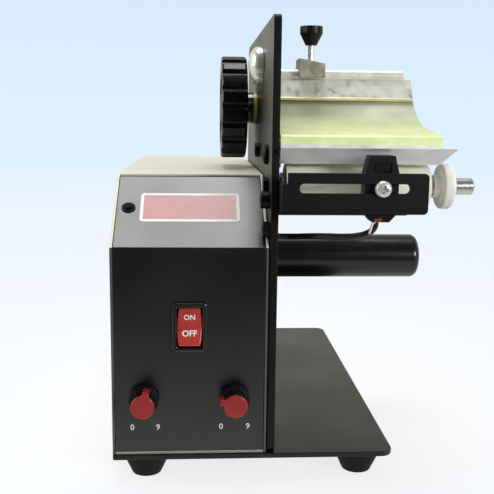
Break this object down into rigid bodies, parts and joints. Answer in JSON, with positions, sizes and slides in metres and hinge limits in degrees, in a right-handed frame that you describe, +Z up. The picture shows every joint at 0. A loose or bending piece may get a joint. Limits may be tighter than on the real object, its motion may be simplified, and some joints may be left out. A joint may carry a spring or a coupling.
{
  "type": "label dispenser",
  "caption": "Bench-top label dispenser: control box, side plate, peel platform with press bar, gap sensor, guide rollers and a supply spindle.",
  "frame": {"origin": "centre of the bounding box in X and Y, at the underside of the rubber feet", "axes": "+X to the right as the operator sees the machine, away from the control box; +Y to the back; +Z up"},
  "size_m": [0.1718, 0.2356, 0.2173],
  "materials": {
    "base_sheet": "satin powder coat, black",
    "side_sheet": "satin powder coat, black with an olive sheen",
    "panel_sheet": "satin powder coat, black",
    "cover_sheet": "satin powder coat, warm off-white",
    "rubber": "matt",
    "zinc_steel": "zinc plated",
    "bright_steel": "polished",
    "black_steel": "black oxide",
    "bronze": "sintered bronze",
    "yellow_zinc": "yellow chromate",
    "deck_sheet": "satin",
    "curve_sheet": "polished, pale yellow-green",
    "leaf_sheet": "galvanised, mottled",
    "block_steel": "ground",
    "black_plastic": "moulded",
    "gloss_black": "moulded",
    "red_plastic": "translucent moulding",
    "window_plastic": "translucent moulding",
    "nylon": "turned nylon",
    "idler_plastic": "turned",
    "board": "printed circuit board",
    "motor_steel": "plated",
    "aluminium": "machined",
    "roller_rubber": "ground",
    "roller_pale": "ground",
    "cable": "soft sheath"
  },
  "bodies": {
    "machine": {"base_plate": "base_sheet", "rubber_feet": "rubber", "foot_screws": "zinc_steel", "side_plate": "side_sheet", "plate_angle": "zinc_steel", "plate_screws": "black_steel", "plate_bushes": "bronze", "cable_grommet": "rubber", "cover": "cover_sheet", "cover_screws": "zinc_steel", "floor_pan": "cover_sheet", "front_panel": "panel_sheet", "counter_window": "window_plastic", "display_board": "board", "button_bushing": "black_plastic", "rocker_bezel": "gloss_black", "potentiometers": "zinc_steel", "dc_inlet": "black_plastic", "control_board": "board", "motor_bracket": "zinc_steel", "gear_motor": "motor_steel", "drive_belt": "rubber", "pinch_axle": "zinc_steel", "guide_shaft": "bright_steel", "shaft_screw": "bright_steel", "peel_plate": "deck_sheet", "curved_sheet": "curve_sheet", "platform_bolts": "black_steel", "sensor_bracket": "panel_sheet", "sensor_cable": "cable", "spindle_axle": "zinc_steel"},
    "reset": {"reset_button": "gloss_black"},
    "rocker_key": {"rocker": "red_plastic"},
    "length_dial": {"length_shaft": "aluminium", "length_knob": "black_plastic", "length_knob_cap": "red_plastic"},
    "speed_dial": {"speed_shaft": "aluminium", "speed_knob": "black_plastic", "speed_knob_cap": "red_plastic"},
    "drive": {"drive_pulley": "aluminium", "drive_shaft": "zinc_steel", "drive_roller": "roller_rubber"},
    "motor_output": {"motor_pulley": "aluminium"},
    "pinch": {"pinch_roller": "roller_pale"},
    "idler": {"liner_idler": "idler_plastic"},
    "disc": {"liner_disc": "nylon"},
    "supply": {"supply_spindle": "black_plastic"},
    "brake": {"brake_shaft": "zinc_steel", "brake_roller": "aluminium", "brake_washer": "yellow_zinc", "brake_wheel": "black_plastic"},
    "press": {"bar_bracket": "zinc_steel", "bar_nut": "bright_steel", "press_bar": "bright_steel", "press_leaf": "leaf_sheet"},
    "guide": {"guide_block": "block_steel"},
    "thumb": {"thumb_screw": "black_plastic"},
    "sensor": {"sensor_body": "black_plastic", "sensor_screw": "bright_steel"}
  },
  "joints": [
    {"name": "reset_press", "type": "slide", "parent": "machine", "child": "reset", "axis": [0, 0.59, -0.8074], "range_m": [0, 0.001], "stiffness_N_per_m": 300, "springref_m": -0.001},
    {"name": "rocker_tilt", "type": "hinge", "parent": "machine", "child": "rocker_key", "pos_m": [-0.0481, -0.1002, 0.0761], "axis": [1, 0, 0], "range_deg": [0, 20]},
    {"name": "length_turn", "type": "hinge", "parent": "machine", "child": "length_dial", "pos_m": [-0.0691, -0.1012, 0.0422], "axis": [0, 1, 0], "range_deg": [-164, 136]},
    {"name": "speed_turn", "type": "hinge", "parent": "machine", "child": "speed_dial", "pos_m": [-0.0271, -0.1012, 0.0422], "axis": [0, 1, 0], "range_deg": [-78, 222]},
    {"name": "drive_spin", "type": "hinge", "parent": "machine", "child": "drive", "pos_m": [-0.008, -0.0572, 0.1315], "axis": [1, 0, 0], "continuous": true},
    {"name": "motor_spin", "type": "hinge", "parent": "machine", "child": "motor_output", "pos_m": [-0.0226, -0.0252, 0.0725], "axis": [1, 0, 0], "continuous": true},
    {"name": "pinch_spin", "type": "hinge", "parent": "machine", "child": "pinch", "pos_m": [-0.008, -0.0399, 0.1315], "axis": [1, 0, 0], "continuous": true},
    {"name": "idler_spin", "type": "hinge", "parent": "machine", "child": "idler", "pos_m": [-0.008, -0.0852, 0.1401], "axis": [1, 0, 0], "continuous": true},
    {"name": "disc_slide", "type": "slide", "parent": "machine", "child": "disc", "axis": [1, 0, 0], "range_m": [-0.0025, 0.0085]},
    {"name": "supply_spin", "type": "hinge", "parent": "machine", "child": "supply", "pos_m": [-0.008, 0.0008, 0.0913], "axis": [1, 0, 0], "continuous": true},
    {"name": "brake_spin", "type": "hinge", "parent": "machine", "child": "brake", "pos_m": [-0.008, -0.0012, 0.1766], "axis": [1, 0, 0], "continuous": true},
    {"name": "press_lift", "type": "hinge", "parent": "machine", "child": "press", "pos_m": [-0.008, -0.0412, 0.1977], "axis": [1, 0, 0], "range_deg": [-75, 0]},
    {"name": "guide_slide", "type": "slide", "parent": "press", "child": "guide", "axis": [1, 0, 0], "range_m": [-0.011, 0.041]},
    {"name": "thumb_turn", "type": "hinge", "parent": "guide", "child": "thumb", "pos_m": [0.0132, -0.0412, 0.1929], "axis": [0, 0, 1], "range_deg": [0, 720]},
    {"name": "sensor_slide", "type": "slide", "parent": "machine", "child": "sensor", "axis": [1, 0, 0], "range_m": [-0.031, 0.007], "deforming": ["sensor_cable"]}
  ],
  "couplings": [
    {"joint": "motor_spin", "follows": "drive_spin", "ratio": 1},
    {"joint": "pinch_spin", "follows": "drive_spin", "ratio": -1.125}
  ]
}
